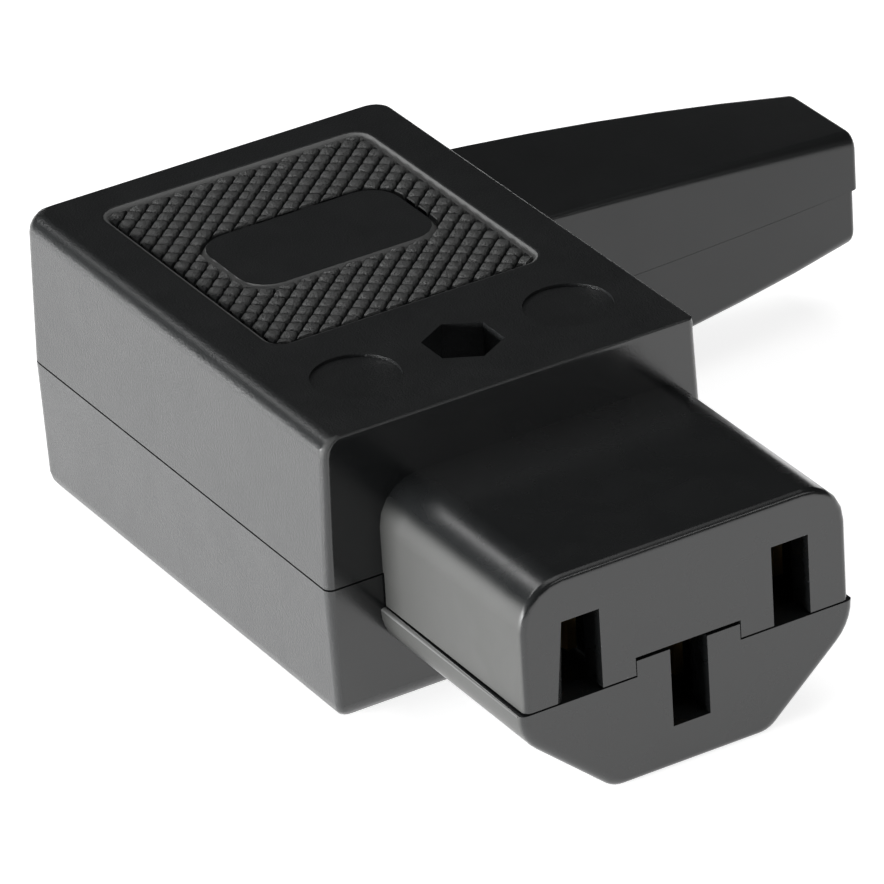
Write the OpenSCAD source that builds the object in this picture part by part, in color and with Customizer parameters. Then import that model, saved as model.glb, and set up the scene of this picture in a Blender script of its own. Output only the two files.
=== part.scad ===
// Right-angle rewireable C13 connector, in two moulded shells held by one screw and nut.
// Origin: the middle of the engagement face, midway between the line and neutral slots.
// X runs along the row of slots towards the cord arm, Y into the connector, Z up.

/* [Engagement face] */
// Spacing of the line and neutral slots
slot_pitch = 14; // [13:0.1:16]
// Distance of the earth slot below the other two
earth_drop = 4.1; // [3.8:0.1:4.5]
// Width of a slot
slot_w = 2.5; // [2.2:0.1:2.8]
// Height of a slot
slot_h = 5.2; // [4.8:0.1:5.6]
// Thickness of the wall that the slots pass through
face_wall = 1.8; // [1.2:0.1:2.4]

/* [Nose] */
// Width of the nose, on the lower shell
nose_w = 22.4; // [21:0.1:26]
// Height of the nose above the line of the slots
nose_rise = 5.45; // [5:0.05:6.5]
// Length of the nose in front of the housing
nose_len = 15.4; // [14.5:0.1:20]
// Width that each lower corner of the nose is cut back by
chamfer_w = 5.9; // [4.5:0.1:7]
// Height that each lower corner of the nose is cut back by
chamfer_h = 5.15; // [4:0.05:5.6]
// Radius of the long upper edges of the nose
nose_top_r = 2.85; // [1.5:0.05:3.2]
// Radius of the long lower edges of the nose, on the base
foot_r = 1.6; // [0.6:0.1:2]
// Radius of the long lower edges of the nose, on its sides
side_r = 3.2; // [0.6:0.1:3.4]
// Radius round the engagement face
face_edge_r = 0.45; // [0.2:0.05:0.8]
// Step by which the upper shell lies inside the lower one along the nose
nose_step = 0.3; // [0.1:0.05:0.4]

/* [Housing] */
// Width of the housing
body_w = 25.8; // [25.8:0.1:32]
// Depth of the housing behind the nose
body_d = 35.85; // [34:0.05:42]
// Height of the housing above the line of the slots
body_rise = 9.2; // [9:0.05:12]
// Depth of the housing and nose below the line of the slots
body_drop = 9.4; // [9:0.05:10.5]
// Distance of the housing's middle to the left of the earth slot
body_offset = 1.7; // [1.5:0.1:2.2]
// Distance of the housing's parting plane below the line of the slots
parting_drop = 0.46; // [0.3:0.02:0.7]
// Thickness of the housing's side walls
wall = 1.6; // [1.4:0.1:1.8]
// Thickness of the roof
roof = 2.1; // [1.8:0.1:2.4]
// Thickness of the floor
floor_t = 1.8; // [1.5:0.1:2.1]
// Draft of the upper shell's sides, over its height
upper_draft = 0.3; // [0.1:0.05:0.6]
// Draft of the lower shell's sides, over its height
lower_draft = 0.2; // [0.1:0.05:0.6]
// Gap that shows between the two shells
parting_gap = 0.12; // [0.06:0.02:0.2]
// Radius of the upper left long edge
left_edge_r = 1.1; // [0.4:0.1:1.4]
// Radius of the other upper edges
top_edge_r = 0.2; // [0.1:0.05:0.5]
// Radius of the lower edges
bottom_edge_r = 1.2; // [0.6:0.1:1.4]
// Radius of the upright corners at the rear
rear_corner_r = 1.1; // [0.5:0.1:2.4]
// Radius of the upright corners at the front
front_corner_r = 0.5; // [0.3:0.1:0.8]

/* [Cord arm] */
// Length of the arm beside the housing
arm_len = 26.6; // [22:0.2:40]
// Width and height of the arm where it leaves the housing
arm_base = 12.2; // [11.8:0.1:12.6]
// Width and height of the arm at its end
arm_end = 7.6; // [7.4:0.1:8.4]
// Fullness of the arm in the middle, beyond a straight taper
arm_bulge = 0.6; // [0:0.1:1.2]
// Distance of the cord's line from the rear of the housing
cord_inset = 8.3; // [7.9:0.1:9]
// Distance of the arm's root behind the cord's line
arm_lean = 0.6; // [0:0.1:0.8]
// Radius of the arm's long edges at the housing
arm_root_r = 0.2; // [0.1:0.05:0.6]
// Radius of the arm's long edges at its end
arm_edge_r = 0.9; // [0.4:0.1:1.4]
// Radius round the arm's end
arm_tip_r = 0.4; // [0.1:0.05:0.5]
// Distance by which the lower shell's arm is the shorter
arm_step = 0.3; // [0:0.05:0.4]
// Diameter of the cord entry
cord_d = 6; // [5:0.1:6.2]
// Length of the straight cord entry
entry_len = 6; // [4:0.5:10]
// Thickness of the arm's wall at the housing
arm_wall = 1.7; // [1.2:0.1:2]

/* [Top face] */
// Width of the ribbed field
field_w = 18.4; // [14:0.2:20]
// Depth of the ribbed field
field_d = 21.3; // [16:0.1:22]
// Distance of the ribbed field from the rear face
field_margin = 2.85; // [2:0.05:3]
// Depth that the field is sunk
field_sink = 0.5; // [0.3:0.05:0.7]
// Radius of the field's corners
field_r = 1.2; // [0.6:0.1:2]
// Width of the slope round the field and round the plaque
field_slope = 0.35; // [0.1:0.05:0.4]
// Distance from one diagonal rib to the next
rib_pitch = 1; // [0.8:0.05:1.6]
// Direction of the ribs, in degrees from the row of slots
rib_angle = 42; // [30:1:60]
// Height of a rib
rib_h = 0.3; // [0.2:0.05:0.5]
// Width of the plain plaque in the field
plaque_w = 13; // [8:0.5:14]
// Depth of the plain plaque in the field
plaque_d = 7.5; // [5:0.5:9]
// Distance between the two round recesses
recess_pitch = 14.4; // [13:0.2:18]
// Radius of the plaque's corners
plaque_r = 2; // [1:0.1:3]
// Diameter of a round recess
recess_d = 5.4; // [4:0.2:6]
// Depth of a round recess
recess_sink = 0.2; // [0.1:0.05:0.4]

/* [Housing screw] */
// Distance of the screw behind the housing's front face
screw_inset = 5.8; // [5.4:0.1:6.2]
// Diameter of the housing screw
screw_d = 2; // [1.6:0.1:2.5]
// Diameter of the screw's head
screw_head_d = 3.8; // [3.5:0.1:4]
// Height of the screw's head
screw_head_h = 1.3; // [1:0.1:1.6]
// Width across the flats of the nut
nut_flats = 4; // [3.6:0.1:4.4]
// Thickness of the nut
nut_h = 1.6; // [1.2:0.1:2]
// Depth of the pocket over the nut
nut_depth = 2.4; // [1.6:0.1:3]
// Distance of the screw to the left of the earth slot
screw_offset = 1.4; // [1.2:0.1:1.8]
// Depth of the recess under the screw's head
head_depth = 1.2; // [0.6:0.1:1.8]
// Outer diameter of the bosses round the screw
boss_d = 6.6; // [6.2:0.1:7]

/* [Contacts] */
// Thickness of the contact sheet
sheet = 0.6; // [0.4:0.05:0.7]
// Height of a contact's leaves
leaf_h = 4.4; // [4:0.1:4.8]
// Gap between a contact's leaves where they grip the pin
grip_gap = 1.7; // [1.5:0.05:1.9]
// Width inside the contact behind the leaves
contact_bore = 2.4; // [2.1:0.1:2.6]
// Distance of the contacts behind the wall that the slots pass through
contact_inset = 2.4; // [0.6:0.2:2.8]
// Length of the contact's socket
socket_len = 8.6; // [8:0.2:9.6]
// Length of the flared mouth of a contact's leaves
mouth_len = 2.2; // [1.6:0.1:2.6]
// Distance that each leaf flares at the mouth
mouth_flare = 0.7; // [0.4:0.1:0.8]
// Thickness of the backing spring's strip
spring_t = 0.3; // [0.2:0.05:0.35]
// Width of the backing spring
spring_w = 3.2; // [2:0.2:3.6]
// Width of the strip that joins socket and terminal
tail_w = 3.2; // [2.6:0.1:3.4]
// Side of a terminal plate
terminal_w = 5.6; // [5:0.1:5.8]
// Distance of the line and neutral screws behind the front of the housing
terminal_inset = 7.8; // [7:0.1:9]
// Distance of the earth screw behind the front of the housing
earth_inset = 15.8; // [15:0.1:17]

/* [Terminal screws] */
// Diameter of a terminal screw
terminal_screw_d = 3; // [2.5:0.1:3]
// Length of a terminal screw under its head
terminal_screw_len = 4; // [3.5:0.1:4.4]
// Diameter of a terminal screw's head
terminal_head_d = 5.2; // [4.5:0.1:5.4]
// Height of a terminal screw's head
terminal_head_h = 1.7; // [1.4:0.1:2]
// Thickness of a wire clamp plate
clamp_plate_t = 0.9; // [0.7:0.1:1.2]

/* [Cord clamp] */
// Thickness of the clamp bar over the cord
bar_t = 1.6; // [1.2:0.1:2]
// Width of the clamp bar along the cord
bar_w = 4.4; // [3.6:0.2:5]
// Distance between the clamp's two screws
clamp_pitch = 8.6; // [8.2:0.1:8.8]
// Diameter of a clamp screw
clamp_screw_d = 2; // [1.8:0.1:2.2]
// Length of a clamp screw under its head
clamp_screw_len = 7; // [5.5:0.5:7.5]
// Diameter of a clamp screw's head
clamp_head_d = 3.4; // [3:0.1:3.6]

/* [Clearances] */
// Gap between faces that seat on each other
seat = 0.03; // [0.01:0.01:0.05]
// Radial gap round screws in plain holes, and round pegs
hole_gap = 0.1; // [0.05:0.01:0.15]
// Radial gap between a screw and the thread it turns in
thread_gap = 0.02; // [0.01:0.01:0.04]
// Gap between a contact or terminal and the wall beside it
fit_gap = 0.3; // [0.2:0.05:0.4]
// Gap between the arm's two halves
arm_gap = 0.02; // [0.01:0.01:0.1]

/* [Hidden] */

$fn = 48;
eps = 0.01;
far = 100;
// Distance that a cutter runs past the face it cuts
over = 1;
// Distance that a fitting reaches into the floor or roof that it stands on
bond = 0.5;

housing_black = [0.12, 0.12, 0.125];
clamp_black = [0.18, 0.18, 0.185];
brass = [0.8, 0.64, 0.32];
steel = [0.66, 0.67, 0.69];

// Housing
body_left = -body_offset - body_w / 2;
body_right = -body_offset + body_w / 2;
body_rear = nose_len + body_d;
parting = -parting_drop;
room_left = body_left + wall;
room_right = body_right - wall;
room_front = nose_len + wall;
room_rear = body_rear - wall;
room_top = body_rise - roof;
room_floor = floor_t - body_drop;
room_r = 1;
lip_t = wall / 2;
lip_h = 1;

// Nose and its parting, which steps up over the earth slot
nose_parting = -slot_h / 2;
tongue_w = 7;
tongue_top = slot_h / 2 - earth_drop;
tongue_gap = 2 * parting_gap;

// Arm
arm_y = body_rear - cord_inset;
arm_tip = body_right + arm_len;
channel_r = arm_base / 2 - arm_wall;

// Line of the housing screw, beside which the earth strip passes
screw_x = -screw_offset;
screw_y = nose_len + screw_inset;

// Contact chambers behind the slots
contact_y = face_wall + contact_inset;
socket_w = contact_bore + 2 * sheet;
chamber_w = socket_w + 2 * (spring_t + fit_gap + hole_gap);
chamber_h = leaf_h + 2 * (sheet + seat);
socket_end = contact_y + socket_len;
web_y = socket_end - spring_w - sheet;
tail_z = -leaf_h / 2 - sheet;
step_x = screw_x + boss_d / 2 + fit_gap + hole_gap;
step_far = step_x + tail_w;
way_gap = 2 * hole_gap;

// Terminals, on one level
terminal_side = body_w / 2 - wall - terminal_w / 2 - fit_gap;
line_x = -body_offset - terminal_side;
neutral_x = -body_offset + terminal_side;
earth_x = -body_offset;
live_y = nose_len + terminal_inset;
earth_y = nose_len + earth_inset;
collar_h = 1.2;
collar_d = terminal_screw_d + 1.2;
plate_z = -leaf_h / 2;
terminal_head_z = plate_z + clamp_plate_t + 2 * seat;
driver_w = 0.6;
driver_depth = 0.6;
riser_y = live_y + terminal_w / 2 + fit_gap;

// Housing screw, from the underside up into the nut
head_seat = screw_head_h + head_depth - body_drop;
pocket_floor = body_rise - nut_depth - nut_h;
screw_tip = pocket_floor + nut_h;

// Cord clamp, across the cord at the root of the arm
clamp_x = room_right - bar_w / 2 - fit_gap;
cord_r = cord_d / 2;
bar_bite = 0.45;
bar_seat = parting + cord_r * bar_bite;
bar_top = parting + cord_r + bar_t;
bar_end = clamp_pitch / 2 + 1.3;
bar_r = 0.8;
column_d = 3.2;
clamp_head_h = 1.3;
cradle_t = 1;

// Locating pegs
peg_d = 2;
peg_h = 1.8;
peg_column_d = 3.6;
peg_inset = 1.35;
pegs = [
    [room_left + peg_inset, nose_len + 16],
    [room_left + peg_inset, room_rear - peg_inset],
    [room_right - peg_inset, nose_len + 14.5],
];

// ---- Outlines ----

// Points of an arc of radius r that rounds the corner b of the line a, b, c
function corner_arc(a, b, c, r, steps) =
    let (
        u = (a - b) / norm(a - b),
        v = (c - b) / norm(c - b),
        half = acos(u * v) / 2,
        middle = b + (u + v) / norm(u + v) * r / sin(half),
        from = b + u * r / tan(half) - middle,
        to = b + v * r / tan(half) - middle,
        start = atan2(from.y, from.x),
        sweep = (atan2(to.y, to.x) - start + 540) % 360 - 180
    )
    [for (i = [0 : steps]) middle + r * [cos(start + sweep * i / steps), sin(start + sweep * i / steps)]];

// Outline with the corner at each point rounded by its own radius
function rounded(points, radii, steps = 5) =
    let (n = len(points))
    [for (i = [0 : n - 1])
        each radii[i] > 0
            ? corner_arc(points[(i + n - 1) % n], points[i], points[(i + 1) % n], radii[i], steps)
            : [points[i]]];

// Upright rectangle's corners, anticlockwise from the lower left
function box_points(x0, y0, x1, y1) = [[x0, y0], [x1, y0], [x1, y1], [x0, y1]];

// How far an edge of radius r has come in at a depth below the face it rounds into
function edge_inset(depth, r) = depth >= r ? 0 : r - sqrt(r * r - (r - depth) * (r - depth));

// Housing seen from above, with each side brought in
function plan_points(left, right, front, rear) =
    rounded(
        box_points(body_left + left, nose_len + front, body_right - right, body_rear - rear),
        [front_corner_r, front_corner_r, rear_corner_r, rear_corner_r]
    );

// Nose seen from the front, for a half width, with the whole outline brought in
function nose_points(half_w, inset) =
    let (
        side = half_w - inset,
        top = nose_rise - inset,
        base = inset - body_drop,
        corner = base + chamfer_h,
        foot = side - chamfer_w
    )
    rounded(
        [[-side, top], [-side, corner], [-foot, base], [foot, base], [side, corner], [side, top]],
        [nose_top_r - inset, side_r, foot_r, foot_r, side_r, nose_top_r - inset]
    );

// Solid skinned over a row of outlines, each of as many points as the last
module loft(sections) {
    n = len(sections[0]);
    last = (len(sections) - 1) * n;
    sides = [for (k = [0 : n : last - n]) for (i = [0 : n - 1]) let (j = (i + 1) % n)
        each [[k + i, k + n + i, k + n + j], [k + i, k + n + j, k + j]]];
    ends = [[for (i = [0 : n - 1]) i], [for (i = [n - 1 : -1 : 0]) last + i]];
    polyhedron([for (outline = sections) each outline], concat(sides, ends));
}

function at_z(z, points) = [for (p = points) [p.x, p.y, z]];
function at_y(y, points) = [for (p = points) [p.x, y, p.y]];
function at_x(x, points) = [for (p = points) [x, p.x, p.y]];

module hexagon(flats) {
    rotate(30) circle(d = flats / cos(30), $fn = 6);
}

// ---- Outer forms of the shells ----

// Depths below a face, as shares of an edge's radius, at which a rounded edge is sampled
edge_steps = [1, 0.6, 0.3, 0.1, 0];

module upper_block() {
    loft([
        at_z(parting, plan_points(0, 0, 0, 0)),
        for (s = edge_steps)
            let (
                depth = s * left_edge_r,
                left = edge_inset(depth, left_edge_r) + upper_draft,
                side = edge_inset(depth, top_edge_r)
            )
            at_z(body_rise - depth, plan_points(left, side + upper_draft, side, side)),
    ]);
}

module lower_block() {
    loft([
        for (i = [len(edge_steps) - 1 : -1 : 0])
            let (
                depth = edge_steps[i] * bottom_edge_r,
                side = edge_inset(depth, bottom_edge_r)
            )
            at_z(depth - body_drop, plan_points(side + lower_draft, side + lower_draft, side, side)),
        at_z(parting, plan_points(0, 0, 0, 0)),
    ]);
}

module nose_form(half_w) {
    loft([
        at_y(nose_len + wall / 2, nose_points(half_w, 0)),
        for (s = edge_steps)
            at_y(s * face_edge_r, nose_points(half_w, edge_inset(s * face_edge_r, face_edge_r))),
    ]);
}

// Arm's square section at a share t of its length, with the whole outline brought in
function arm_points(t, inset) =
    let (
        half = (arm_base + (arm_end - arm_base) * t) / 2 + 2 * arm_bulge * t * (1 - t) - inset,
        middle = arm_y + arm_lean * (1 - t),
        r = arm_root_r + (arm_edge_r - arm_root_r) * t
    )
    rounded(box_points(middle - half, parting - half, middle + half, parting + half), [r, r, r, r]);

module arm_form(tip) {
    spans = 6;
    straight = arm_len - 2 * arm_tip_r;
    loft([
        at_x(body_right - wall / 2, arm_points(0, 0)),
        for (i = [0 : spans - 1])
            at_x(body_right + straight * i / spans, arm_points(straight / arm_len * i / spans, 0)),
        for (s = edge_steps)
            let (depth = s * arm_tip_r)
            at_x(tip - depth, arm_points(1 - depth / arm_len, edge_inset(depth, arm_tip_r))),
    ]);
}

// ---- Spaces inside ----

module room_prism(grow, bottom, top) {
    translate([0, 0, bottom])
        linear_extrude(top - bottom)
            polygon(rounded(
                box_points(room_left - grow, room_front - grow, room_right + grow, room_rear + grow),
                [room_r, room_r, room_r, room_r]
            ));
}

// Chamber for one contact, from behind the engagement face into the room
module chamber(x, z) {
    translate([x - chamber_w / 2, face_wall, z - chamber_h / 2])
        cube([chamber_w, room_front + room_r - face_wall, chamber_h]);
}

module chambers() {
    for (x = [-slot_pitch / 2, slot_pitch / 2])
        chamber(x, 0);
    chamber(0, -earth_drop);
    // Way for the earth strip, which steps aside to clear the screw boss
    way_h = sheet + fit_gap + way_gap;
    translate([0, web_y - way_gap, -earth_drop - chamber_h / 2])
        cube([step_far + way_gap, room_front - web_y + way_gap + eps, way_h]);
    translate([step_x - way_gap, room_front, -earth_drop - chamber_h / 2])
        cube([tail_w + 2 * way_gap, riser_y + sheet + way_gap - room_front, way_h]);
}

// Cord's way: straight through the end of the arm, then widening into the room
module cord_way(tip) {
    translate([tip - entry_len, arm_y, parting])
        rotate([0, 90, 0])
            cylinder(h = entry_len + over, r = cord_r);
    translate([room_right - eps, arm_y, parting])
        rotate([0, 90, 0])
            cylinder(h = tip - entry_len - room_right + 2 * eps, r1 = channel_r, r2 = cord_r);
}

module line_slots() {
    for (x = [-slot_pitch / 2, slot_pitch / 2])
        translate([x - slot_w / 2, -over, nose_parting - over])
            cube([slot_w, face_wall + over + eps, slot_h + over]);
}

module earth_slot() {
    translate([-slot_w / 2, -over, -earth_drop - slot_h / 2])
        cube([slot_w, face_wall + over + eps, slot_h + over]);
}

// Everything on one side of the parting, which runs along the nose below the housing's level
module upper_side() {
    translate([-far, nose_len, parting + parting_gap / 2])
        cube([2 * far, far, far]);
    translate([body_right, nose_len, parting + arm_gap / 2])
        cube([far, far, far]);
    difference() {
        translate([-far, -far, nose_parting + parting_gap / 2])
            cube([2 * far, far + nose_len + eps, far]);
        translate([-tongue_w / 2 - parting_gap / 4, -far - over, -far])
            cube([tongue_w + parting_gap / 2, far + nose_len + 2 * over, far + tongue_top + tongue_gap / 2]);
        translate([-far, nose_len - parting_gap, -far])
            cube([2 * far, over, far + parting + parting_gap / 2]);
    }
}

module lower_side() {
    translate([-far, nose_len, -far])
        cube([2 * far, far, far + parting - parting_gap / 2]);
    translate([body_right, nose_len, -far])
        cube([far, far, far + parting - arm_gap / 2]);
    translate([-far, -far, -far])
        cube([2 * far, far + nose_len + eps, far + nose_parting - parting_gap / 2]);
    translate([-tongue_w / 2 + parting_gap / 4, -far, -far])
        cube([tongue_w - parting_gap / 2, far + nose_len + eps, far + tongue_top - tongue_gap / 2]);
}

// ---- Shared fittings ----

module pin(d, bottom, top) {
    translate([0, 0, bottom]) cylinder(h = top - bottom, d = d);
}

// Screw standing on z = 0 of its head's underside, pointing down, with a driver slot
module slotted_screw(d, length, head_d, head_h) {
    difference() {
        union() {
            pin(head_d, 0, head_h);
            pin(d, -length, eps);
        }
        translate([-head_d, -driver_w / 2, head_h - driver_depth])
            cube([2 * head_d, driver_w, driver_depth + over]);
    }
}

// ---- Lower shell ----

module pedestal(x, y) {
    translate([x - terminal_w / 2, y - terminal_w / 2, room_floor - bond])
        cube([terminal_w, terminal_w, tail_z - seat - room_floor + bond]);
}

module lower_fittings() {
    pedestal(line_x, live_y);
    pedestal(neutral_x, live_y);
    pedestal(earth_x, earth_y);
    // Pad that carries the earth strip up to its bend
    translate([step_x, room_front - bond, room_floor - bond])
        cube([tail_w, riser_y - room_front + bond, tail_z - earth_drop - seat - room_floor + bond]);
    translate([screw_x, screw_y, 0])
        pin(boss_d, room_floor - bond, parting - parting_gap / 2);
    for (p = pegs)
        translate(p) {
            pin(peg_column_d, room_floor - bond, parting - parting_gap / 2);
            pin(peg_d, parting - bond, parting + peg_h);
        }
    for (s = [-1, 1])
        translate([clamp_x, arm_y + s * clamp_pitch / 2, 0])
            pin(column_d, room_floor - bond, bar_seat - seat);
    // Two ribs that cradle the cord below the clamp
    for (s = [-1, 1])
        translate([clamp_x + s * bar_w / 4 - cradle_t / 2, arm_y - clamp_pitch / 2, room_floor - bond])
            cube([cradle_t, clamp_pitch, parting - room_floor]);
}

module lower_housing() {
    color(housing_black)
        difference() {
            union() {
                difference() {
                    intersection() {
                        union() {
                            lower_block();
                            nose_form(nose_w / 2);
                            arm_form(arm_tip - arm_step);
                        }
                        lower_side();
                    }
                    room_prism(0, room_floor, parting + over);
                }
                difference() {
                    room_prism(lip_t, parting - bond, parting + lip_h);
                    room_prism(0, parting - over, parting + lip_h + over);
                }
                intersection() {
                    lower_fittings();
                    room_prism(wall / 2, -body_drop, body_rise);
                }
            }
            chambers();
            earth_slot();
            cord_way(arm_tip);
            translate([room_left, arm_y, parting])
                rotate([0, 90, 0])
                    cylinder(h = room_right - room_left + over, r = cord_r);
            // Screw hole, and the recess for its head in the underside
            translate([screw_x, screw_y, 0]) {
                pin(screw_d + 2 * hole_gap, -body_drop - over, 0);
                pin(screw_head_d + 4 * hole_gap, -body_drop - over, head_seat);
            }
            for (t = [[line_x, live_y], [neutral_x, live_y], [earth_x, earth_y]])
                translate(t)
                    pin(collar_d + 2 * hole_gap, room_floor + fit_gap, tail_z + over);
            for (s = [-1, 1])
                translate([clamp_x, arm_y + s * clamp_pitch / 2, 0])
                    pin(clamp_screw_d + 2 * thread_gap, bar_top - clamp_screw_len - fit_gap, bar_seat + over);
        }
}

// ---- Upper shell ----

field_x = screw_x - field_w / 2;
field_y = body_rear - field_margin - field_d;

function field_points(inset) =
    rounded(
        box_points(field_x + inset, field_y + inset, field_x + field_w - inset, field_y + field_d - inset),
        [for (i = [0 : 3]) field_r - inset]
    );

function plaque_points(grow) =
    let (half_w = plaque_w / 2 + grow, half_d = plaque_d / 2 + grow)
    [for (p = rounded(box_points(-half_w, -half_d, half_w, half_d), [for (i = [0 : 3]) plaque_r + grow]))
        p + [screw_x, field_y + field_d / 2]];

// Diagonal ribs of the sunk field, with the plain plaque among them
module field_ribs() {
    span = norm([field_w, field_d]);
    ribs = ceil(span / rib_pitch / 2);
    root = 0.1;
    base = body_rise - field_sink - root;
    foot = 0.46 * rib_pitch;
    crest = 0.36 * rib_pitch;
    difference() {
        intersection() {
            translate([0, 0, base]) linear_extrude(field_sink) polygon(field_points(field_slope));
            translate([screw_x, field_y + field_d / 2, base])
                rotate(rib_angle - 90)
                    for (i = [-ribs : ribs])
                        translate([i * rib_pitch, span / 2, 0])
                            rotate([90, 0, 0])
                                linear_extrude(span)
                                    polygon([
                                        [-foot, 0], [foot, 0], [foot, root],
                                        [crest, root + rib_h], [-crest, root + rib_h], [-foot, root],
                                    ]);
        }
        translate([0, 0, base - over]) linear_extrude(2 * over) polygon(plaque_points(field_slope));
    }
    loft([at_z(base, plaque_points(field_slope)), at_z(base + field_sink, plaque_points(0))]);
}

module upper_fittings() {
    translate([screw_x, screw_y, 0])
        pin(boss_d, parting + parting_gap / 2, room_top + bond);
    for (p = pegs)
        translate(p)
            pin(peg_column_d, parting + parting_gap / 2, room_top + bond);
}

module upper_housing() {
    color(housing_black) {
        difference() {
            union() {
                difference() {
                    intersection() {
                        union() {
                            upper_block();
                            nose_form(nose_w / 2 - nose_step);
                            arm_form(arm_tip);
                        }
                        upper_side();
                    }
                    room_prism(0, parting - over, room_top);
                }
                intersection() {
                    upper_fittings();
                    room_prism(wall / 2, -body_drop, body_rise);
                }
            }
            // Rebate that fits over the lower shell's lip
            difference() {
                room_prism(lip_t + hole_gap, parting - over, parting + lip_h + hole_gap);
                room_prism(-hole_gap, parting - 2 * over, parting + lip_h + over);
            }
            chambers();
            line_slots();
            cord_way(arm_tip);
            translate([screw_x, screw_y, 0]) {
                pin(screw_d + 2 * hole_gap, -body_drop, body_rise);
                translate([0, 0, pocket_floor])
                    linear_extrude(body_rise)
                        hexagon(nut_flats + 2 * hole_gap);
            }
            for (p = pegs)
                translate(p)
                    pin(peg_d + 2 * hole_gap, -body_drop, parting + peg_h + 3 * hole_gap);
            // Sunk field and round recesses of the top
            loft([
                at_z(body_rise - field_sink, field_points(field_slope)),
                at_z(body_rise + field_sink, field_points(-field_slope)),
            ]);
            for (s = [-1, 1])
                translate([screw_x + s * recess_pitch / 2, screw_y, 0])
                    pin(recess_d, body_rise - recess_sink, body_rise + over);
        }
        field_ribs();
    }
}

// ---- Contacts ----

// Grip of two sprung leaves, seen from above, between the mouth and the web
module leaf_pair(bottom, from) {
    grip_y = contact_y + mouth_len;
    bore_y = web_y - sheet;
    half = grip_gap / 2;
    mouth = half + mouth_flare;
    bore = contact_bore / 2;
    points = [
        [mouth, contact_y], [half, grip_y], [bore, bore_y], [bore, socket_end],
        [bore + sheet, socket_end], [bore + sheet, bore_y], [half + sheet, grip_y],
        [mouth + sheet, contact_y],
    ];
    intersection() {
        translate([0, 0, bottom])
            linear_extrude(leaf_h / 2 - bottom)
                union() {
                    polygon(points);
                    mirror([1, 0]) polygon(points);
                }
        translate([-socket_w, from, -far / 2]) cube([2 * socket_w, far, far]);
    }
}

// Socket folded from sheet: two leaves standing on a web
module socket() {
    leaf_pair(-leaf_h / 2, 0);
    leaf_pair(tail_z, web_y);
    translate([-socket_w / 2, web_y, tail_z])
        cube([socket_w, socket_end - web_y, sheet]);
}

// Terminal plate with its drawn and threaded collar
module terminal(x, y) {
    difference() {
        union() {
            translate([x - terminal_w / 2, y - terminal_w / 2, tail_z])
                cube([terminal_w, terminal_w, sheet]);
            translate([x, y, 0])
                pin(collar_d, tail_z - collar_h, tail_z + eps);
        }
        translate([x, y, 0])
            pin(terminal_screw_d + 2 * thread_gap, tail_z - collar_h - over, tail_z + sheet + over);
    }
}

// Contact of the line or neutral pin, with its strip cranked over to the terminal plate
module side_contact(slot_x, x) {
    half = tail_w / 2;
    crank_y = room_front + fit_gap;
    plate_y = live_y - terminal_w / 2;
    color(brass) {
        translate([slot_x, 0, 0]) socket();
        translate([0, 0, tail_z])
            linear_extrude(sheet)
                polygon([
                    [slot_x - half, web_y], [slot_x + half, web_y],
                    [slot_x + half, crank_y], [x + half, plate_y],
                    [x + half, plate_y + sheet], [x - half, plate_y + sheet],
                    [x - half, plate_y], [slot_x - half, crank_y],
                ]);
        terminal(x, live_y);
    }
}

module line_contact() {
    side_contact(-slot_pitch / 2, line_x);
}

module neutral_contact() {
    side_contact(slot_pitch / 2, neutral_x);
}

// Earth contact: its strip passes beside the screw boss, then rises to the terminals' level
module earth_contact() {
    low = tail_z - earth_drop;
    color(brass) {
        translate([0, 0, -earth_drop]) socket();
        translate([-socket_w / 2, web_y, low])
            cube([step_far + socket_w / 2, socket_end - web_y, sheet]);
        translate([step_x, web_y, low])
            cube([tail_w, riser_y + sheet - web_y, sheet]);
        translate([step_x, riser_y, low])
            cube([tail_w, sheet, earth_drop + sheet]);
        translate([step_x, riser_y, tail_z])
            cube([tail_w, earth_y + terminal_w / 2 - riser_y, sheet]);
        translate([earth_x, earth_y - tail_w / 2, tail_z])
            difference() {
                cube([step_far - earth_x, tail_w, sheet]);
                translate([0, tail_w / 2, 0]) pin(collar_d, -over, sheet + over);
            }
        terminal(earth_x, earth_y);
    }
}

// Steel clip that backs the leaves, over the socket's open side
module backing_spring(x, z) {
    inner = socket_w + 2 * seat;
    reach = leaf_h * 0.75 + seat;
    color(steel)
        translate([x, socket_end - spring_w, z + leaf_h / 2 + seat - reach])
            difference() {
                translate([-inner / 2 - spring_t, 0, 0])
                    cube([inner + 2 * spring_t, spring_w, reach + spring_t]);
                translate([-inner / 2, -over, -over])
                    cube([inner, spring_w + 2 * over, reach + over]);
            }
}

module line_contact_spring() {
    backing_spring(-slot_pitch / 2, 0);
}

module neutral_contact_spring() {
    backing_spring(slot_pitch / 2, 0);
}

module earth_contact_spring() {
    backing_spring(0, -earth_drop);
}

// Square plate under a terminal screw's head, ribbed below to hold the strands
module clamp_plate(x, y) {
    side = terminal_w - 2 * hole_gap;
    groove_w = 1.1;
    groove_depth = 0.25;
    color(steel)
        translate([x, y, plate_z + seat])
            difference() {
                translate([-side / 2, -side / 2, 0]) cube([side, side, clamp_plate_t]);
                pin(terminal_screw_d + 2 * hole_gap, -over, clamp_plate_t + over);
                for (s = [-1, 1])
                    translate([s * (side / 2 - clamp_plate_t) - groove_w / 2, -side, -over])
                        cube([groove_w, 2 * side, over + groove_depth]);
            }
}

module line_clamp_plate() {
    clamp_plate(line_x, live_y);
}

module neutral_clamp_plate() {
    clamp_plate(neutral_x, live_y);
}

module earth_clamp_plate() {
    clamp_plate(earth_x, earth_y);
}

module terminal_screw(x, y) {
    color(steel)
        translate([x, y, terminal_head_z])
            slotted_screw(terminal_screw_d, terminal_screw_len, terminal_head_d, terminal_head_h);
}

module line_terminal_screw() {
    terminal_screw(line_x, live_y);
}

module neutral_terminal_screw() {
    terminal_screw(neutral_x, live_y);
}

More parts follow.
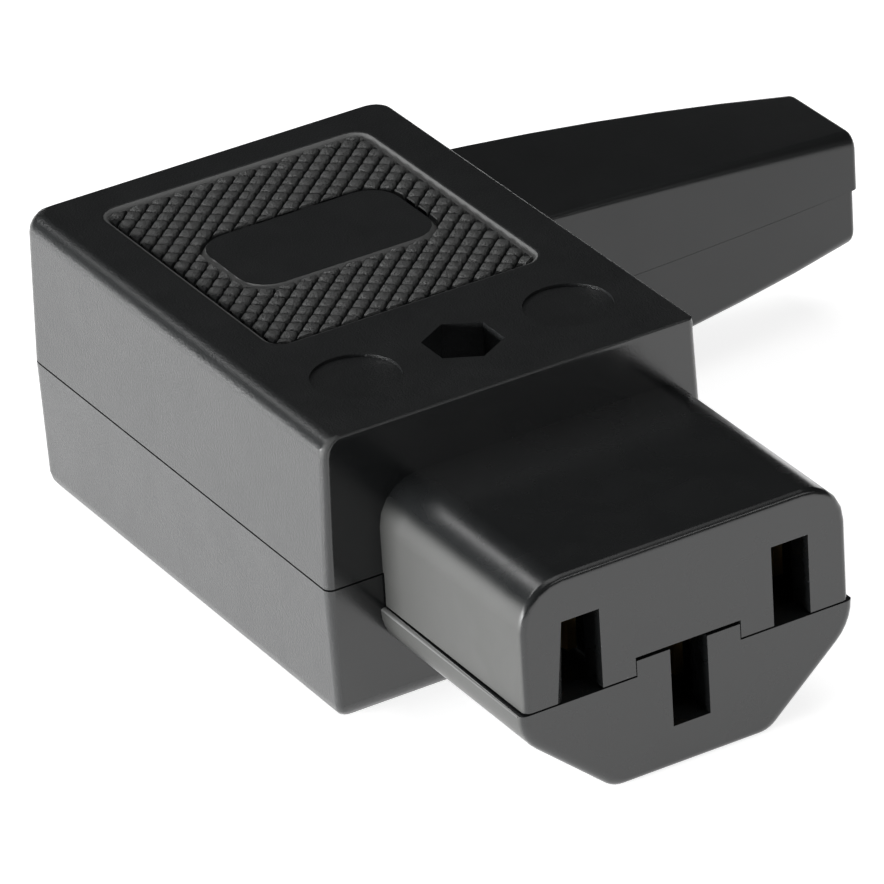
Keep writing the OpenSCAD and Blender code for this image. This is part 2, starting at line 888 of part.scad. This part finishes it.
module earth_terminal_screw() {
    terminal_screw(earth_x, earth_y);
}

// ---- Cord clamp ----

module cord_clamp() {
    color(clamp_black)
        difference() {
            translate([clamp_x - bar_w / 2, arm_y, 0])
                rotate([90, 0, 90])
                    linear_extrude(bar_w)
                        polygon(rounded(
                            box_points(-bar_end, bar_seat, bar_end, bar_top),
                            [0, 0, bar_r, bar_r]
                        ));
            translate([clamp_x - bar_w, arm_y, parting])
                rotate([0, 90, 0])
                    cylinder(h = 2 * bar_w, r = cord_r);
            for (s = [-1, 1])
                translate([clamp_x, arm_y + s * clamp_pitch / 2, 0])
                    pin(clamp_screw_d + 2 * hole_gap, bar_seat - over, bar_top + over);
        }
}

module clamp_screw(side) {
    color(steel)
        translate([clamp_x, arm_y + side * clamp_pitch / 2, bar_top + seat])
            slotted_screw(clamp_screw_d, clamp_screw_len, clamp_head_d, clamp_head_h);
}

module front_clamp_screw() {
    clamp_screw(-1);
}

module rear_clamp_screw() {
    clamp_screw(1);
}

// ---- Housing screw and nut ----

module housing_screw() {
    color(steel)
        translate([screw_x, screw_y, head_seat - seat])
            rotate([180, 0, 0])
                slotted_screw(screw_d, screw_tip - head_seat, screw_head_d, screw_head_h);
}

module housing_nut() {
    color(steel)
        translate([screw_x, screw_y, pocket_floor + seat])
            difference() {
                linear_extrude(nut_h) hexagon(nut_flats);
                pin(screw_d + 2 * thread_gap, -over, nut_h + over);
            }
}

lower_housing();
upper_housing();
line_contact();
neutral_contact();
earth_contact();
line_contact_spring();
neutral_contact_spring();
earth_contact_spring();
line_clamp_plate();
neutral_clamp_plate();
earth_clamp_plate();
line_terminal_screw();
neutral_terminal_screw();
earth_terminal_screw();
cord_clamp();
front_clamp_screw();
rear_clamp_screw();
housing_screw();
housing_nut();
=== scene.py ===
import math

import bmesh
import bpy
from mathutils import Matrix, Vector


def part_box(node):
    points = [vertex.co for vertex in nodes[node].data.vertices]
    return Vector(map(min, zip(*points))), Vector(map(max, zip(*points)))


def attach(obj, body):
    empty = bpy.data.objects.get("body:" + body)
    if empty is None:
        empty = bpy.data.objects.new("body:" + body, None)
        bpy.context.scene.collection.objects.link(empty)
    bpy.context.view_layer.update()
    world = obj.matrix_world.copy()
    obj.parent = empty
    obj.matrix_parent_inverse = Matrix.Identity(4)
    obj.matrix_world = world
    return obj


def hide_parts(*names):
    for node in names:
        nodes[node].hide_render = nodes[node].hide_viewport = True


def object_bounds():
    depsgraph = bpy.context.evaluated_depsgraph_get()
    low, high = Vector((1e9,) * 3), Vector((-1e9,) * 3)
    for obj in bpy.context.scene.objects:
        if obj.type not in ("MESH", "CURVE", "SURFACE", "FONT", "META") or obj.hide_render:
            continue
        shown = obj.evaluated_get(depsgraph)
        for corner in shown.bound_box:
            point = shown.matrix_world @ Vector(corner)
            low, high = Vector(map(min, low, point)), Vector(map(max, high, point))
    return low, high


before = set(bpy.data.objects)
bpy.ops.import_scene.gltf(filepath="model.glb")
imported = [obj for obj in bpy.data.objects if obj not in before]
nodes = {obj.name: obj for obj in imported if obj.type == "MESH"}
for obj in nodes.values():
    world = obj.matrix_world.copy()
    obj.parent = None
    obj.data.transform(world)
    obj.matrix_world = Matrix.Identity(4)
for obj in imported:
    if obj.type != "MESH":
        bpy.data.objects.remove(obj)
cad_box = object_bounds()

# ---- Lower shell ----
# Moulded in black polyamide: a tray with the lower part of the nose and of the cord arm. The
# cavity is spark-eroded, which leaves a fine grain on the housing, and stoned smoother at the
# nose, the arm and the housing's front.

nose_length = 0.0154
nose_width = 0.0224
arm_length = 0.0266
parting_gap = 0.00012
nose_rear = cad_box[0][1] + nose_length
arm_root = cad_box[1][0] - arm_length
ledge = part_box("upper_housing")[0][2] - parting_gap

same_point = 1e-7
front_play = 0.00005
flat_angle = math.radians(0.3)
crease_angle = math.radians(32)
worn_sideways = 0.2
worn_upwards = 0.3

housing_black = (0.013, 0.014, 0.0145)
plastic_ior = 1.53
flow_scale = 320
flow_span = (0.3, 0.7)
uneven_gloss = 0.03
uneven_tone = 0.1


def new_finish(name):
    """A new material, with its node tree, its surface shader and the piece's own coordinates."""
    finish = bpy.data.materials.new(name)
    finish.use_nodes = True
    tree = finish.node_tree
    return finish, tree, tree.nodes["Principled BSDF"], tree.nodes.new("ShaderNodeTexCoord")


def speckle(tree, vector, scale, detail=2, roughness=0.5, distortion=0):
    """Soft random spots, about 1 / scale metres across."""
    spots = tree.nodes.new("ShaderNodeTexNoise")
    spots.inputs["Scale"].default_value = scale
    spots.inputs["Detail"].default_value = detail
    spots.inputs["Roughness"].default_value = roughness
    spots.inputs["Distortion"].default_value = distortion
    tree.links.new(vector, spots.inputs["Vector"])
    return spots.outputs["Fac"]


def emboss(tree, shader, pattern, depth, strength=1):
    """Raises a pattern into the surface, by a depth in metres."""
    relief = tree.nodes.new("ShaderNodeBump")
    relief.inputs["Strength"].default_value = strength
    relief.inputs["Distance"].default_value = depth
    tree.links.new(pattern, relief.inputs["Height"])
    tree.links.new(relief.outputs["Normal"], shader.inputs["Normal"])


def spread(tree, pattern, low, high, start=0, end=1, way="LINEAR"):
    """Lays a pattern's values from start to end out between low and high."""
    span = tree.nodes.new("ShaderNodeMapRange")
    span.interpolation_type = way
    span.inputs["From Min"].default_value = start
    span.inputs["From Max"].default_value = end
    span.inputs["To Min"].default_value = low
    span.inputs["To Max"].default_value = high
    tree.links.new(pattern, span.inputs["Value"])
    return span.outputs["Result"]


def tinted(tree, pattern, first, second):
    """Two colours mixed by a pattern. The first may be a pattern of its own."""
    mix = tree.nodes.new("ShaderNodeMix")
    mix.data_type = "RGBA"
    tree.links.new(pattern, mix.inputs["Factor"])
    if isinstance(first, bpy.types.NodeSocket):
        tree.links.new(first, mix.inputs["A"])
    else:
        mix.inputs["A"].default_value = (*first, 1)
    mix.inputs["B"].default_value = (*second, 1)
    return mix.outputs["Result"]


def reckon(tree, operation, *terms):
    """One step of arithmetic on patterns and plain numbers."""
    step = tree.nodes.new("ShaderNodeMath")
    step.operation = operation
    for socket, term in zip(step.inputs, terms):
        if isinstance(term, bpy.types.NodeSocket):
            tree.links.new(term, socket)
        else:
            socket.default_value = term
    return step.outputs["Value"]


def moulded_plastic(name, colour, roughness, grain_size, grain_depth):
    """Moulding compound: grain from the cavity, faint flow marks and a slightly uneven gloss."""
    plastic, tree, shader, place = new_finish(name)
    shader.inputs["IOR"].default_value = plastic_ior
    grain = speckle(tree, place.outputs["Object"], 1 / grain_size, detail=3, roughness=0.6)
    emboss(tree, shader, grain, grain_depth)
    flow = speckle(tree, place.outputs["Object"], flow_scale, detail=4, distortion=0.6)
    gloss = spread(tree, flow, roughness - uneven_gloss, roughness + uneven_gloss, *flow_span)
    tree.links.new(gloss, shader.inputs["Roughness"])
    darker = [c * (1 - uneven_tone) for c in colour]
    lighter = [c * (1 + uneven_tone) for c in colour]
    tree.links.new(tinted(tree, flow, darker, lighter), shader.inputs["Base Color"])
    return plastic


def either_side(tree, vector, start, end):
    """0 where a vector's X is smaller than start on both sides, rising to 1 at end."""
    axes = tree.nodes.new("ShaderNodeSeparateXYZ")
    tree.links.new(vector, axes.inputs["Vector"])
    reach = reckon(tree, "ABSOLUTE", axes.outputs["X"])
    return spread(tree, reach, 0, 1, start, end, "SMOOTHSTEP")


housing_grain = moulded_plastic(
    "housing_grain", housing_black, roughness=0.34, grain_size=0.00013, grain_depth=0.000035
)
nose_satin = moulded_plastic(
    "nose_satin", housing_black, roughness=0.27, grain_size=0.00016, grain_depth=0.000003
)
arm_satin = moulded_plastic(
    "arm_satin", housing_black, roughness=0.36, grain_size=0.00016, grain_depth=0.000004
)
arm_satin.node_tree.nodes["Principled BSDF"].inputs["Specular IOR Level"].default_value = 0.36
edge_wear = moulded_plastic(
    "edge_wear", housing_black, roughness=0.33, grain_size=0.0002, grain_depth=0.000028
)
front_polish = moulded_plastic(
    "front_polish", housing_black, roughness=0.19, grain_size=0.00016, grain_depth=0.000004
)
shell_finishes = (housing_grain, nose_satin, arm_satin, edge_wear, front_polish)

# The nose's sides rub against every inlet that it is pushed into, so they are duller outside.
# They are also painted paler, as painted light for the bright light they catch from the left;
# both fade out round the edges.
side_light_grey = (0.042, 0.043, 0.041)
scuff_dulling = 0.32
scuff_and_light_facing = (0.72, 0.99)
scuff_and_light_outside = (0.0095, 0.0105)
tree = nose_satin.node_tree
shader = tree.nodes["Principled BSDF"]
gloss = shader.inputs["Roughness"].links[0].from_socket
tint = shader.inputs["Base Color"].links[0].from_socket
place = tree.nodes.new("ShaderNodeTexCoord")
facing_out = either_side(tree, place.outputs["Normal"], *scuff_and_light_facing)
lying_out = either_side(tree, place.outputs["Object"], *scuff_and_light_outside)
rubbed_and_lit = reckon(tree, "MULTIPLY", facing_out, lying_out)
dulled = reckon(tree, "MULTIPLY_ADD", rubbed_and_lit, scuff_dulling, gloss)
tree.links.new(dulled, shader.inputs["Roughness"])
# Painted light: the paler grey laid on the nose's sides stands in for the light they catch from
# the left.
tree.links.new(tinted(tree, rubbed_and_lit, tint, side_light_grey), shader.inputs["Base Color"])


def moulding(name, node):
    """A shell taken from its solid, with clean faces, smooth shading and its finishes."""
    mesh = nodes[node].data.copy()
    shell = bpy.data.objects.new(name, mesh)
    bpy.context.scene.collection.objects.link(shell)
    mesh.materials.clear()
    for finish in shell_finishes:
        mesh.materials.append(finish)
    work = bmesh.new()
    work.from_mesh(mesh)
    bmesh.ops.remove_doubles(work, verts=work.verts, dist=same_point)
    bmesh.ops.dissolve_limit(work, angle_limit=flat_angle, verts=work.verts, edges=work.edges)
    for face in work.faces:
        face.smooth = True
        middle = face.calc_center_median()
        if middle.y < nose_rear - front_play:
            finish = nose_satin
        elif middle.y < nose_rear + front_play:
            finish = front_polish
        elif middle.x > arm_root + same_point:
            finish = arm_satin
        elif face.normal.x < -worn_sideways and face.normal.z > worn_upwards:
            finish = edge_wear
        else:
            finish = housing_grain
        face.material_index = shell_finishes.index(finish)
    for edge in work.edges:
        edge.smooth = edge.is_manifold and edge.calc_face_angle(0) < crease_angle
    work.to_mesh(mesh)
    work.free()
    weights = shell.modifiers.new("flat faces stay flat", "WEIGHTED_NORMAL")
    weights.keep_sharp = True
    return shell


def edges_where(work, test):
    """The edges whose two ends both pass a test."""
    return [edge for edge in work.edges if all(test(v.co) for v in edge.verts)]


def soften(work, edges, width, steps):
    """Rounds the given edges, as the polished cavity does."""
    rounded = bmesh.ops.bevel(
        work, geom=edges, offset=width, offset_type="OFFSET", segments=steps, profile=0.5,
        affect="EDGES", material=-1,
    )
    for face in rounded["faces"]:
        face.smooth = True


def extra_finish(shell, finish):
    """Gives a shell one more finish, and says its number there."""
    shell.data.materials.append(finish)
    return len(shell.data.materials) - 1


brim_width = 0.00028
brim_steps = 4
side_play = 0.00003
level_play = 0.00008
ledge_depth = 0.0003
ledge_inside = 0.0098
ledge_upwards = 0.2

# Painted light: the upward faces of the ledge along the lower nose's sides are painted pale grey,
# to lift the shade that falls in the groove under the upper nose.
ledge_light_paint = moulded_plastic(
    "ledge_light_paint", (0.11, 0.112, 0.11), roughness=0.55, grain_size=0.00016, grain_depth=0.000006
)
lower_shell = moulding("lower_shell", "lower_housing")
ledge_light_index = extra_finish(lower_shell, ledge_light_paint)


def on_brim(spot):
    """Whether a point lies on the upper edge of the lower nose's side."""
    at_side = abs(abs(spot.x) - nose_width / 2) < side_play
    return at_side and abs(spot.z - ledge) < level_play and spot.y < nose_rear


work = bmesh.new()
work.from_mesh(lower_shell.data)
soften(work, edges_where(work, on_brim), brim_width, brim_steps)
work.normal_update()
# Painted light: the ledge's upward faces get the pale grey that lifts the shade in the groove.
for face in work.faces:
    middle = face.calc_center_median()
    at_ledge = abs(middle.z - ledge) < ledge_depth and abs(middle.x) > ledge_inside
    if at_ledge and face.normal.z > ledge_upwards and middle.y < nose_rear:
        face.material_index = ledge_light_index
work.to_mesh(lower_shell.data)
work.free()
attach(lower_shell, "root")
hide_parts("lower_housing")

# ---- Contacts ----
# Stamped and folded from brass strip: two sprung leaves behind each slot, a strip, and a
# square terminal plate with a drawn and tapped collar. The rolling shows as fine lines.

fresh_brass = (0.80, 0.60, 0.28)
dull_brass = (0.66, 0.47, 0.21)
brass_gloss = (0.22, 0.36)
tarnish_scale = 450
rolling_scale = 9000
rolling_stretch = 0.06
rolling_depth = 0.000004
brass, tree, shader, place = new_finish("rolled_brass")
shader.inputs["Metallic"].default_value = 1
along = tree.nodes.new("ShaderNodeMapping")
along.inputs["Scale"].default_value = (1, rolling_stretch, 1)
tree.links.new(place.outputs["Object"], along.inputs["Vector"])
rolling = speckle(tree, along.outputs["Vector"], rolling_scale)
emboss(tree, shader, rolling, rolling_depth, strength=0.3)
tarnish = speckle(tree, place.outputs["Object"], tarnish_scale)
tree.links.new(tinted(tree, tarnish, fresh_brass, dull_brass), shader.inputs["Base Color"])
tree.links.new(spread(tree, tarnish, *brass_gloss), shader.inputs["Roughness"])


def give(node, finish):
    """Gives a solid its finish."""
    nodes[node].data.materials.clear()
    nodes[node].data.materials.append(finish)


for pole in ("line", "neutral", "earth"):
    give(f"{pole}_contact", brass)

# ---- Backing springs, wire clamps and terminal screws ----
# The springs are clips of hardened steel strip over each socket. The clamp plates and the
# slotted screws that press the bared strands down are zinc-plated steel, turned and pressed.

bright_zinc = (0.66, 0.67, 0.70)
grey_zinc = (0.50, 0.51, 0.52)
zinc_gloss = (0.25, 0.45)
spangle_scale = 1500
turning_scale = 12000
turning_depth = 0.000003
zinc, tree, shader, place = new_finish("zinc_plate")
shader.inputs["Metallic"].default_value = 1
spangle = speckle(tree, place.outputs["Object"], spangle_scale, detail=3)
tree.links.new(tinted(tree, spangle, bright_zinc, grey_zinc), shader.inputs["Base Color"])
tree.links.new(spread(tree, spangle, *zinc_gloss), shader.inputs["Roughness"])
turning = speckle(tree, place.outputs["Object"], turning_scale)
emboss(tree, shader, turning, turning_depth, strength=0.25)

for pole in ("line", "neutral", "earth"):
    for fitting in ("contact_spring", "clamp_plate", "terminal_screw"):
        give(f"{pole}_{fitting}", zinc)

# ---- Cord clamp ----
# A moulded bar with a hollow for the cord, held down by two small screws beside it, so that
# a pull on the cord doesn't reach the terminals.

clamp_plastic = moulded_plastic(
    "clamp_plastic", (0.07, 0.07, 0.074), roughness=0.45, grain_size=0.00014, grain_depth=0.000008
)
give("cord_clamp", clamp_plastic)
give("front_clamp_screw", zinc)
give("rear_clamp_screw", zinc)

# ---- Upper shell ----
# The lid of the housing, with the upper part of the nose and of the arm. Its top carries the
# sunk gripping field, the pocket for the nut, and two round recesses left by inserts.

slot_pitch = 0.014
slot_width = 0.0025
slot_side = -(slot_pitch + slot_width) / 2
lip_width = 0.0005
lip_steps = 3
lip_play = 0.00001
corner_sideways = 0.15
corner_upwards = 0.05

top_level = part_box("upper_housing")[1][2]
nut_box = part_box("housing_nut")
screw_x = (nut_box[0][0] + nut_box[1][0]) / 2
rim_margin = 0.00285
rim_half = (0.0092, 0.01065)
rim_corner = 0.0012
rim_round = 0.00022
rim_steps = 3
rim_play = 0.00004
top_play = 0.00002
slope = 0.00035
slope_reach = slope + rim_round
slope_upwards = (0.15, 0.92)
field_middle = Vector((screw_x, cad_box[1][1] - rim_margin - rim_half[1], 0))
field_half = (rim_half[0] - slope, rim_half[1] - slope)
field_corner = rim_corner - slope
plaque_top_half = (0.0065, 0.00375)
plaque_top_corner = 0.002
plaque_half = (plaque_top_half[0] + slope, plaque_top_half[1] + slope)
plaque_corner = plaque_top_corner + slope

# Painted highlight: the sloping faces round the gripping field and round the plaque are painted
# pale grey, to stand in for the light band they catch from the lamps.
rim_light_paint = moulded_plastic(
    "rim_light_paint", (0.15, 0.152, 0.15), roughness=0.5, grain_size=0.00016, grain_depth=0.00003
)
worn_corner = moulded_plastic(
    "worn_corner", (0.03, 0.031, 0.031), roughness=0.62, grain_size=0.0002, grain_depth=0.00003
)
upper_shell = moulding("upper_shell", "upper_housing")
rim_light_index = extra_finish(upper_shell, rim_light_paint)
corner_finish = extra_finish(upper_shell, worn_corner)
housing_finishes = (shell_finishes.index(housing_grain), shell_finishes.index(edge_wear))


def border(point, half, corner):
    """How far a point lies outside a rounded rectangle round the origin, and which way is out."""
    away = Vector((abs(point.x) - half[0] + corner, abs(point.y) - half[1] + corner, 0))
    if away.x > 0 and away.y > 0:
        reach = away.length - corner
    else:
        reach = max(away.x, away.y) - corner
        away = Vector((1, 0, 0)) if away.x > away.y else Vector((0, 1, 0))
    out = Vector((math.copysign(away.x, point.x), math.copysign(away.y, point.y), 0))
    return reach, out.normalized()


def on_lip(spot):
    """Whether a point lies on the worn edge of the left slot."""
    return abs(spot.x - slot_side) < lip_play and abs(spot.y) < lip_play


def on_rim(spot):
    """Whether a point lies on the upper edge of the field's rim."""
    reach = border(spot - field_middle, rim_half, rim_corner)[0]
    return abs(spot.z - top_level) < top_play and abs(reach) < rim_play


work = bmesh.new()
work.from_mesh(upper_shell.data)
soften(work, edges_where(work, on_lip), lip_width, lip_steps)
soften(work, edges_where(work, on_rim), rim_round, rim_steps)
work.normal_update()
for face in work.faces:
    facing = face.normal
    at_corner = max(facing.x, facing.y) < -corner_sideways and facing.z > corner_upwards
    if at_corner and face.material_index in housing_finishes:
        face.material_index = corner_finish
    spot = face.calc_center_median() - field_middle
    at_rim = 0 < border(spot, field_half, field_corner)[0] < slope_reach
    at_plaque = -slope_reach < border(spot, plaque_half, plaque_corner)[0] < 0
    sloping = slope_upwards[0] < facing.z < slope_upwards[1]
    # Painted highlight: the rim's and the plaque's sloping faces get the pale grey rim paint.
    if (at_rim or at_plaque) and sloping and spot.z > 0:
        face.material_index = rim_light_index
work.to_mesh(upper_shell.data)
work.free()
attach(upper_shell, "root")
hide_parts("upper_housing")

# ---- Gripping beads ----
# A second cut across the diagonal ribs divides them into rows of small rounded beads. The
# rows stop at the field's sloping rim and at the plain plaque in its middle.

rib_turn = math.radians(42)
rib_pitch = 0.001
bead_pitch = 0.00103
bead_stagger = 0.00012
bead_width = 0.00082
bead_length = 0.00096
bead_height = 0.00036
bead_round = 0.00016
bead_steps = 2
bead_sunk = 0.00007
bead_crease = math.radians(50)
outermost = 14
sliver = 0.0002

# Painted light: the beads are painted a mid grey, lighter than the housing's black, to stand in
# for the light their sloping sides catch; the grain on them is real relief.
bead_grain_and_sheen = moulded_plastic(
    "bead_grain_and_sheen", (0.09, 0.092, 0.091), roughness=0.5, grain_size=0.00017, grain_depth=0.0003
)
work = bmesh.new()
pattern = bmesh.ops.create_cube(work, size=1)["verts"]
bmesh.ops.scale(work, vec=(bead_length, bead_width, bead_height), verts=pattern)
upper = [edge for edge in work.edges if max(v.co.z for v in edge.verts) > 0]
soften(work, upper, bead_round, bead_steps)
bmesh.ops.rotate(work, matrix=Matrix.Rotation(rib_turn, 3, "Z"), verts=work.verts)
pattern = work.verts[:] + work.edges[:] + work.faces[:]
along = Vector((math.cos(rib_turn), math.sin(rib_turn), 0))
across = Vector((math.sin(rib_turn), -math.cos(rib_turn), 0))
half_bead = 0.5 * math.hypot(bead_width, bead_length)
rise = Vector((0, 0, top_level - bead_sunk - 0.5 * bead_height))
for rib in range(-outermost, outermost + 1):
    for step in range(-outermost, outermost + 1):
        shift = step * bead_pitch + rib * bead_stagger
        centre = rib * rib_pitch * across + shift * along
        rim, rim_out = border(centre, field_half, field_corner)
        edge, edge_out = border(centre, plaque_half, plaque_corner)
        if rim > sliver or edge < -sliver:
            continue
        place = field_middle + centre + rise
        bead = bmesh.ops.duplicate(work, geom=pattern)["geom"]
        corners = [part for part in bead if isinstance(part, bmesh.types.BMVert)]
        bmesh.ops.translate(work, vec=place, verts=corners)
        for reach, out, inside in ((rim, rim_out, True), (edge, edge_out, False)):
            if abs(reach) > half_bead:
                continue
            cut = bmesh.ops.bisect_plane(
                work, geom=bead, dist=same_point, plane_co=place - reach * out, plane_no=out,
                clear_outer=inside, clear_inner=not inside,
            )
            seam = [part for part in cut["geom_cut"] if isinstance(part, bmesh.types.BMEdge)]
            cap = bmesh.ops.holes_fill(work, edges=seam)["faces"]
            bead = [part for part in cut["geom"] if part.is_valid] + cap
corners = [part for part in pattern if isinstance(part, bmesh.types.BMVert)]
bmesh.ops.delete(work, geom=corners, context="VERTS")
for face in work.faces:
    face.smooth = True
for edge in work.edges:
    edge.smooth = edge.is_manifold and edge.calc_face_angle(0) < bead_crease
bead_mesh = bpy.data.meshes.new("gripping_beads")
work.to_mesh(bead_mesh)
work.free()
gripping_beads = bpy.data.objects.new("gripping_beads", bead_mesh)
bpy.context.scene.collection.objects.link(gripping_beads)
bead_mesh.materials.append(bead_grain_and_sheen)
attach(gripping_beads, "root")

# ---- Housing screw and nut ----
# One plated machine screw goes up through both shells from the underside into a hexagonal
# nut, which drops into its pocket in the top and can't turn there.

give("housing_screw", zinc)
give("housing_nut", zinc)

# ---- Floor ----
# A wide white studio table. It is plain white to the eye and in reflections, and under the
# object it keeps the soft shadow that the lamps leave.

floor_half = 6
card_white = 0.85
glow_seen = 0.8
glow_mirrored = 1.48

work = bmesh.new()
bmesh.ops.create_grid(work, x_segments=1, y_segments=1, size=floor_half)
bmesh.ops.translate(work, verts=work.verts, vec=(0, 0, cad_box[0][2]))
floor_mesh = bpy.data.meshes.new("floor")
work.to_mesh(floor_mesh)
work.free()
floor = bpy.data.objects.new("floor", floor_mesh)
bpy.context.scene.collection.objects.link(floor)

table_white = bpy.data.materials.new("table_white")
table_white.use_nodes = True
tree = table_white.node_tree
tree.nodes.clear()
card = tree.nodes.new("ShaderNodeBsdfDiffuse")
card.inputs["Color"].default_value = (card_white, card_white, card_white, 1)
glow = tree.nodes.new("ShaderNodeEmission")
glow.inputs["Color"].default_value = (1, 1, 1, 1)
rays = tree.nodes.new("ShaderNodeLightPath")
seen = reckon(tree, "MULTIPLY", rays.outputs["Is Camera Ray"], glow_seen)
mirrored = reckon(tree, "MULTIPLY", rays.outputs["Is Glossy Ray"], glow_mirrored)
tree.links.new(reckon(tree, "ADD", seen, mirrored), glow.inputs["Strength"])
both = tree.nodes.new("ShaderNodeAddShader")
tree.links.new(card.outputs["BSDF"], both.inputs[0])
tree.links.new(glow.outputs["Emission"], both.inputs[1])
output = tree.nodes.new("ShaderNodeOutputMaterial")
tree.links.new(both.outputs["Shader"], output.inputs["Surface"])
floor_mesh.materials.append(table_white)

# ---- Lamps ----
# Four soft panels: the main one low on the left, a weak one high in front at the right, a
# narrow one high at the rear left, which draws the light line along the nose, and one overhead.

aim = Vector((0.005, 0.025, 0))
room_glow = 0.036


def panel(name, place, width, height, power):
    """A soft rectangular lamp that faces the connector."""
    lamp = bpy.data.lights.new(name, "AREA")
    lamp.shape = "RECTANGLE"
    lamp.size = width
    lamp.size_y = height
    lamp.energy = power
    held = bpy.data.objects.new(name, lamp)
    bpy.context.scene.collection.objects.link(held)
    held.location = place
    held.rotation_euler = (aim - Vector(place)).to_track_quat("-Z", "Y").to_euler()


panel("left_panel", (-0.45, 0.08, 0.02), width=0.4, height=0.08, power=5.3)
panel("front_strip", (0.21, -0.33, 0.25), width=0.25, height=0.08, power=0.2)
panel("rear_strip", (-0.15, 0.25, 0.29), width=0.25, height=0.1, power=0.36)
panel("top_panel", (0.07, 0.02, 0.45), width=0.46, height=0.3, power=0.58)

world = bpy.data.worlds.new("studio")
world.use_nodes = True
backdrop = world.node_tree.nodes["Background"]
backdrop.inputs["Color"].default_value = (1, 1, 1, 1)
backdrop.inputs["Strength"].default_value = room_glow
bpy.context.scene.world = world

# ---- Camera ----
# A long lens, a little above and to the left of the nose, with the slight lean of a stand
# that was set by hand.

azimuth = math.radians(29.277)
elevation = math.radians(28.739)
lean = math.radians(-3.755)
stand = Vector((-0.196511, -0.32358, 0.219809))
ahead = Vector((
    math.sin(azimuth) * math.cos(elevation),
    math.cos(azimuth) * math.cos(elevation),
    -math.sin(elevation),
))
level = Vector((math.cos(azimuth), -math.sin(azimuth), 0))
upright = level.cross(ahead)
right = math.cos(lean) * level + math.sin(lean) * upright
up = math.cos(lean) * upright - math.sin(lean) * level
lens = bpy.data.cameras.new("camera")
lens.sensor_width = 36
lens.lens = 315.52
lens.clip_start = 0.01
lens.clip_end = 20
camera = bpy.data.objects.new("camera", lens)
bpy.context.scene.collection.objects.link(camera)
turn = Matrix((right, up, -ahead)).transposed().to_4x4()
camera.matrix_world = Matrix.Translation(stand) @ turn
bpy.context.scene.camera = camera
bpy.context.scene.view_settings.view_transform = "Standard"
